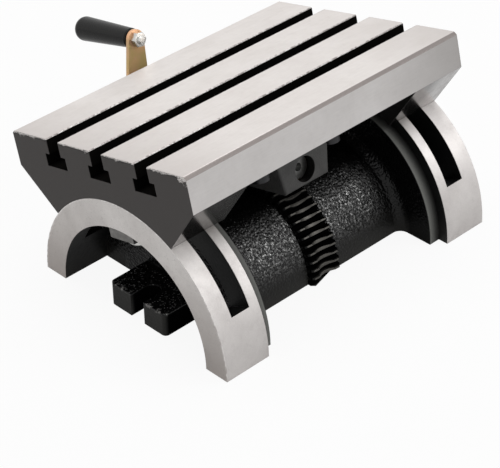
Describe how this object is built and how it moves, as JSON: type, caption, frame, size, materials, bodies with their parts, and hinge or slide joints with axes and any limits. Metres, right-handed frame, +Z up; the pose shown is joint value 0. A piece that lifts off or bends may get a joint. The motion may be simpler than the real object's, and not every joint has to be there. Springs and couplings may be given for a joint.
{
  "type": "tilting angle table",
  "caption": "Worm-driven tilting machine table with lengthwise T-slots, cradled on a half-round slotted base and turned by a side crank.",
  "frame": {"origin": "middle of the base's underside, on the tilt axis", "axes": "+Y along the tilt axis, away from the end that the picture shows; +Z up; the crank is on the -X side, and the table is drawn tilted 13.3 degrees with its +X side raised"},
  "size_m": [0.3011, 0.254, 0.1427],
  "materials": {
    "black_casting": "black paint over coarse sand casting, with ground arch rims",
    "ground_iron": "ground cast iron, polished bevels, painted underside",
    "housing_iron": "dark painted casting",
    "black_screws": "blackened steel",
    "dowel_steel": "ground steel",
    "worm_steel": "machined steel with an oil film",
    "shaft_steel": "turned steel",
    "bronze": "bearing bronze",
    "yellow_zinc": "iridescent yellow zinc plate",
    "bright_zinc": "bright zinc plate",
    "black_grip": "satin black moulded plastic",
    "clamp_steel": "milled steel"
  },
  "bodies": {
    "base": {"base_casting": "black_casting"},
    "table": {"table_casting": "ground_iron", "worm_housing": "housing_iron", "housing_screws": "black_screws", "housing_dowels": "dowel_steel", "bush_crank_side": "bronze", "bush_free_side": "bronze", "thrust_washer_crank_side": "bronze", "thrust_washer_free_side": "bronze", "clamp_block_near": "clamp_steel", "clamp_block_far": "clamp_steel"},
    "crankshaft": {"worm": "worm_steel", "worm_pin": "dowel_steel", "worm_shaft": "shaft_steel", "crank_arm": "yellow_zinc", "crank_washer": "bright_zinc", "crank_nut": "bright_zinc", "grip_spindle": "bright_zinc", "grip_nut": "bright_zinc"},
    "grip": {"grip": "black_grip"},
    "clamp_bolt_near": {"clamp_bolt_near": "bright_zinc"},
    "clamp_bolt_far": {"clamp_bolt_far": "bright_zinc"}
  },
  "joints": [
    {"name": "table_tilt", "type": "hinge", "parent": "base", "child": "table", "pos_m": [0, 0, 0], "axis": [0, -1, 0], "range_deg": [-58.3, 31.7]},
    {"name": "crank_turn", "type": "hinge", "parent": "table", "child": "crankshaft", "pos_m": [-0.0161, 0, 0.06812], "axis": [-0.9732, 0, -0.23], "range_deg": [-3500, 1905]},
    {"name": "grip_spin", "type": "hinge", "parent": "crankshaft", "child": "grip", "pos_m": [-0.15766, 0.012, 0.10187], "axis": [-0.9732, 0, -0.23], "continuous": true},
    {"name": "clamp_turn_near", "type": "hinge", "parent": "table", "child": "clamp_bolt_near", "pos_m": [-0.01265, -0.105, 0.05352], "axis": [-0.23, 0, 0.9732], "range_deg": [0, 180]},
    {"name": "clamp_turn_far", "type": "hinge", "parent": "table", "child": "clamp_bolt_far", "pos_m": [-0.01265, 0.105, 0.05352], "axis": [-0.23, 0, 0.9732], "range_deg": [0, 180]}
  ],
  "couplings": [
    {"joint": "crank_turn", "follows": "table_tilt", "ratio": 60}
  ]
}
